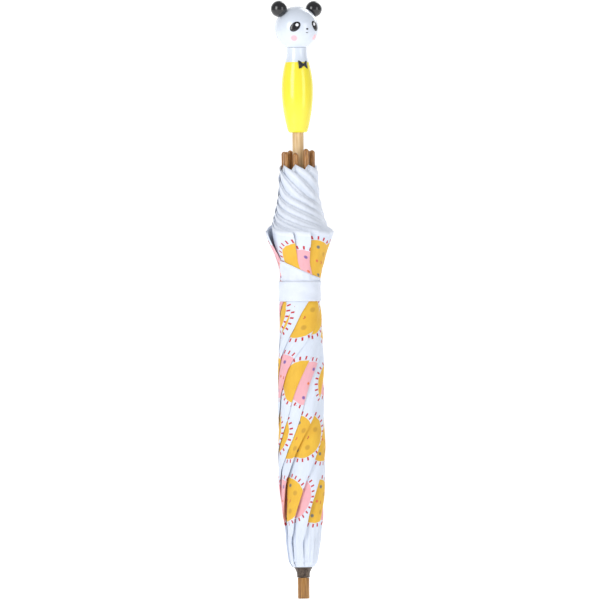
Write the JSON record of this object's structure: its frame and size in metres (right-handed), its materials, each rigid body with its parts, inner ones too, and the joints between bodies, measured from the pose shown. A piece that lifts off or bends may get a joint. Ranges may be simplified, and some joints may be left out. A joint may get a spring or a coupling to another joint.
{
  "type": "stick umbrella",
  "caption": "Child's wooden-shaft stick umbrella, rolled up and tied: carved animal-head handle, hinged steel ribs and stretchers, sliding runner, cloth canopy, wooden tip.",
  "frame": {"origin": "middle of the flat end of the wooden tip", "axes": "+Z along the shaft from the tip to the handle; the face on the handle looks along -Y"},
  "size_m": [0.0618, 0.0618, 0.6576],
  "materials": {
    "pale_wood": "satin varnished pale beech",
    "brown_wood": "stained, varnished wood",
    "dark_bronze": "dark bronze plating, slightly glossy",
    "plated_steel": "plated steel",
    "white_lacquer": "wood under glossy white lacquer",
    "yellow_lacquer": "wood under glossy yellow lacquer",
    "black_lacquer": "wood under glossy black lacquer",
    "canopy_cloth": "thin white polyester with a printed pattern of yellow and pink sun faces",
    "strap_cloth": "plain white polyester"
  },
  "bodies": {
    "handle_and_shaft": {"shaft": "pale_wood", "wooden_tip": "brown_wood", "ferrule_cap": "dark_bronze", "canopy_washer": "canopy_cloth", "top_notch": "plated_steel", "notch_wire": "plated_steel", "stop_pin": "plated_steel", "handle_body": "yellow_lacquer", "handle_head": "white_lacquer", "left_ear": "black_lacquer", "right_ear": "black_lacquer"},
    "rib_1_arm": {"rib_1": "plated_steel", "rib_end_1": "brown_wood", "rivet_1": "plated_steel"},
    "stretcher_1_arm": {"stretcher_1": "plated_steel"},
    "panel_1": {"canopy_panel_1": "canopy_cloth"},
    "rib_2_arm": {"rib_2": "plated_steel", "rib_end_2": "brown_wood", "rivet_2": "plated_steel", "strap": "strap_cloth", "strap_stud": "dark_bronze"},
    "stretcher_2_arm": {"stretcher_2": "plated_steel"},
    "panel_2": {"canopy_panel_2": "canopy_cloth"},
    "rib_3_arm": {"rib_3": "plated_steel", "rib_end_3": "brown_wood", "rivet_3": "plated_steel"},
    "stretcher_3_arm": {"stretcher_3": "plated_steel"},
    "panel_3": {"canopy_panel_3": "canopy_cloth"},
    "rib_4_arm": {"rib_4": "plated_steel", "rib_end_4": "brown_wood", "rivet_4": "plated_steel"},
    "stretcher_4_arm": {"stretcher_4": "plated_steel"},
    "panel_4": {"canopy_panel_4": "canopy_cloth"},
    "rib_5_arm": {"rib_5": "plated_steel", "rib_end_5": "brown_wood", "rivet_5": "plated_steel"},
    "stretcher_5_arm": {"stretcher_5": "plated_steel"},
    "panel_5": {"canopy_panel_5": "canopy_cloth"},
    "rib_6_arm": {"rib_6": "plated_steel", "rib_end_6": "brown_wood", "rivet_6": "plated_steel"},
    "stretcher_6_arm": {"stretcher_6": "plated_steel"},
    "panel_6": {"canopy_panel_6": "canopy_cloth"},
    "rib_7_arm": {"rib_7": "plated_steel", "rib_end_7": "brown_wood", "rivet_7": "plated_steel"},
    "stretcher_7_arm": {"stretcher_7": "plated_steel"},
    "panel_7": {"canopy_panel_7": "canopy_cloth"},
    "rib_8_arm": {"rib_8": "plated_steel", "rib_end_8": "brown_wood", "rivet_8": "plated_steel"},
    "stretcher_8_arm": {"stretcher_8": "plated_steel"},
    "panel_8": {"canopy_panel_8": "canopy_cloth"},
    "runner_slider": {"runner": "plated_steel", "runner_wire": "plated_steel"},
    "closed_catch_spring": {"closed_catch": "plated_steel"},
    "open_catch_spring": {"open_catch": "plated_steel"}
  },
  "joints": [
    {"name": "canopy_open", "type": "hinge", "parent": "handle_and_shaft", "child": "rib_1_arm", "pos_m": [0.00936, 0.00082, 0.04], "axis": [-0.0872, 0.9962, 0], "range_deg": [0, 64], "deforming": ["strap"]},
    {"name": "rib_2_swing", "type": "hinge", "parent": "handle_and_shaft", "child": "rib_2_arm", "pos_m": [0.00604, 0.0072, 0.04], "axis": [-0.766, 0.6428, 0], "range_deg": [-1, 65]},
    {"name": "rib_3_swing", "type": "hinge", "parent": "handle_and_shaft", "child": "rib_3_arm", "pos_m": [-0.00082, 0.00936, 0.04], "axis": [-0.9962, -0.0872, 0], "range_deg": [-1, 65]},
    {"name": "rib_4_swing", "type": "hinge", "parent": "handle_and_shaft", "child": "rib_4_arm", "pos_m": [-0.0072, 0.00604, 0.04], "axis": [-0.6428, -0.766, 0], "range_deg": [-1, 65]},
    {"name": "rib_5_swing", "type": "hinge", "parent": "handle_and_shaft", "child": "rib_5_arm", "pos_m": [-0.00936, -0.00082, 0.04], "axis": [0.0872, -0.9962, 0], "range_deg": [-1, 65]},
    {"name": "rib_6_swing", "type": "hinge", "parent": "handle_and_shaft", "child": "rib_6_arm", "pos_m": [-0.00604, -0.0072, 0.04], "axis": [0.766, -0.6428, 0], "range_deg": [-1, 65]},
    {"name": "rib_7_swing", "type": "hinge", "parent": "handle_and_shaft", "child": "rib_7_arm", "pos_m": [0.00082, -0.00936, 0.04], "axis": [0.9962, 0.0872, 0], "range_deg": [-1, 65]},
    {"name": "rib_8_swing", "type": "hinge", "parent": "handle_and_shaft", "child": "rib_8_arm", "pos_m": [0.0072, -0.00604, 0.04], "axis": [0.6428, 0.766, 0], "range_deg": [-1, 65]},
    {"name": "stretcher_1_pivot", "type": "hinge", "parent": "rib_1_arm", "child": "stretcher_1_arm", "pos_m": [0.01156, 0.00101, 0.22999], "axis": [-0.0872, 0.9962, 0], "range_deg": [-130, 2]},
    {"name": "stretcher_2_pivot", "type": "hinge", "parent": "rib_2_arm", "child": "stretcher_2_arm", "pos_m": [0.00746, 0.00889, 0.22999], "axis": [-0.766, 0.6428, 0], "range_deg": [-130, 2]},
    {"name": "stretcher_3_pivot", "type": "hinge", "parent": "rib_3_arm", "child": "stretcher_3_arm", "pos_m": [-0.00101, 0.01156, 0.22999], "axis": [-0.9962, -0.0872, 0], "range_deg": [-130, 2]},
    {"name": "stretcher_4_pivot", "type": "hinge", "parent": "rib_4_arm", "child": "stretcher_4_arm", "pos_m": [-0.00889, 0.00746, 0.22999], "axis": [-0.6428, -0.766, 0], "range_deg": [-130, 2]},
    {"name": "stretcher_5_pivot", "type": "hinge", "parent": "rib_5_arm", "child": "stretcher_5_arm", "pos_m": [-0.01156, -0.00101, 0.22999], "axis": [0.0872, -0.9962, 0], "range_deg": [-130, 2]},
    {"name": "stretcher_6_pivot", "type": "hinge", "parent": "rib_6_arm", "child": "stretcher_6_arm", "pos_m": [-0.00746, -0.00889, 0.22999], "axis": [0.766, -0.6428, 0], "range_deg": [-130, 2]},
    {"name": "stretcher_7_pivot", "type": "hinge", "parent": "rib_7_arm", "child": "stretcher_7_arm", "pos_m": [0.00101, -0.01156, 0.22999], "axis": [0.9962, 0.0872, 0], "range_deg": [-130, 2]},
    {"name": "stretcher_8_pivot", "type": "hinge", "parent": "rib_8_arm", "child": "stretcher_8_arm", "pos_m": [0.00889, -0.00746, 0.22999], "axis": [0.6428, 0.766, 0], "range_deg": [-130, 2]},
    {"name": "runner_pivot", "type": "hinge", "parent": "stretcher_1_arm", "child": "runner_slider", "pos_m": [0.00936, 0.00082, 0.41997], "axis": [-0.0872, 0.9962, 0], "range_deg": [-1, 65]},
    {"name": "panel_1_spread", "type": "hinge", "parent": "rib_1_arm", "child": "panel_1", "pos_m": [0, 0, 0.03413], "axis": [-0.7682, -0.3999, -0.5], "range_deg": [-1, 47.8]},
    {"name": "panel_2_spread", "type": "hinge", "parent": "rib_2_arm", "child": "panel_2", "pos_m": [0, 0, 0.03413], "axis": [-0.2604, -0.826, -0.5], "range_deg": [-1, 47.8]},
    {"name": "panel_3_spread", "type": "hinge", "parent": "rib_3_arm", "child": "panel_3", "pos_m": [0, 0, 0.03413], "axis": [0.3999, -0.7682, -0.5], "range_deg": [-1, 47.8]},
    {"name": "panel_4_spread", "type": "hinge", "parent": "rib_4_arm", "child": "panel_4", "pos_m": [0, 0, 0.03413], "axis": [0.826, -0.2604, -0.5], "range_deg": [-1, 47.8]},
    {"name": "panel_5_spread", "type": "hinge", "parent": "rib_5_arm", "child": "panel_5", "pos_m": [0, 0, 0.03413], "axis": [0.7682, 0.3999, -0.5], "range_deg": [-1, 47.8]},
    {"name": "panel_6_spread", "type": "hinge", "parent": "rib_6_arm", "child": "panel_6", "pos_m": [0, 0, 0.03413], "axis": [0.2604, 0.826, -0.5], "range_deg": [-1, 47.8]},
    {"name": "panel_7_spread", "type": "hinge", "parent": "rib_7_arm", "child": "panel_7", "pos_m": [0, 0, 0.03413], "axis": [-0.3999, 0.7682, -0.5], "range_deg": [-1, 47.8]},
    {"name": "panel_8_spread", "type": "hinge", "parent": "rib_8_arm", "child": "panel_8", "pos_m": [0, 0, 0.03413], "axis": [-0.826, 0.2604, -0.5], "range_deg": [-1, 47.8]},
    {"name": "closed_catch_press", "type": "hinge", "parent": "handle_and_shaft", "child": "closed_catch_spring", "pos_m": [0.00177, 0.00092, 0.37857], "axis": [0.4617, -0.887, 0], "range_deg": [0, 2.6], "stiffness_Nm_per_rad": 0.5},
    {"name": "open_catch_press", "type": "hinge", "parent": "handle_and_shaft", "child": "open_catch_spring", "pos_m": [0.00177, 0.00092, 0.27401], "axis": [-0.4617, 0.887, 0], "range_deg": [0, 2.6], "stiffness_Nm_per_rad": 0.5}
  ],
  "couplings": [
    {"joint": "rib_2_swing", "follows": "canopy_open", "ratio": 1},
    {"joint": "rib_3_swing", "follows": "canopy_open", "ratio": 1},
    {"joint": "rib_4_swing", "follows": "canopy_open", "ratio": 1},
    {"joint": "rib_5_swing", "follows": "canopy_open", "ratio": 1},
    {"joint": "rib_6_swing", "follows": "canopy_open", "ratio": 1},
    {"joint": "rib_7_swing", "follows": "canopy_open", "ratio": 1},
    {"joint": "rib_8_swing", "follows": "canopy_open", "ratio": 1},
    {"joint": "stretcher_1_pivot", "follows": "canopy_open", "ratio": -2},
    {"joint": "stretcher_2_pivot", "follows": "canopy_open", "ratio": -2},
    {"joint": "stretcher_3_pivot", "follows": "canopy_open", "ratio": -2},
    {"joint": "stretcher_4_pivot", "follows": "canopy_open", "ratio": -2},
    {"joint": "stretcher_5_pivot", "follows": "canopy_open", "ratio": -2},
    {"joint": "stretcher_6_pivot", "follows": "canopy_open", "ratio": -2},
    {"joint": "stretcher_7_pivot", "follows": "canopy_open", "ratio": -2},
    {"joint": "stretcher_8_pivot", "follows": "canopy_open", "ratio": -2},
    {"joint": "runner_pivot", "follows": "canopy_open", "ratio": 1},
    {"joint": "panel_1_spread", "follows": "canopy_open", "ratio": 0.73126},
    {"joint": "panel_2_spread", "follows": "canopy_open", "ratio": 0.73126},
    {"joint": "panel_3_spread", "follows": "canopy_open", "ratio": 0.73126},
    {"joint": "panel_4_spread", "follows": "canopy_open", "ratio": 0.73126},
    {"joint": "panel_5_spread", "follows": "canopy_open", "ratio": 0.73126},
    {"joint": "panel_6_spread", "follows": "canopy_open", "ratio": 0.73126},
    {"joint": "panel_7_spread", "follows": "canopy_open", "ratio": 0.73126},
    {"joint": "panel_8_spread", "follows": "canopy_open", "ratio": 0.73126}
  ]
}
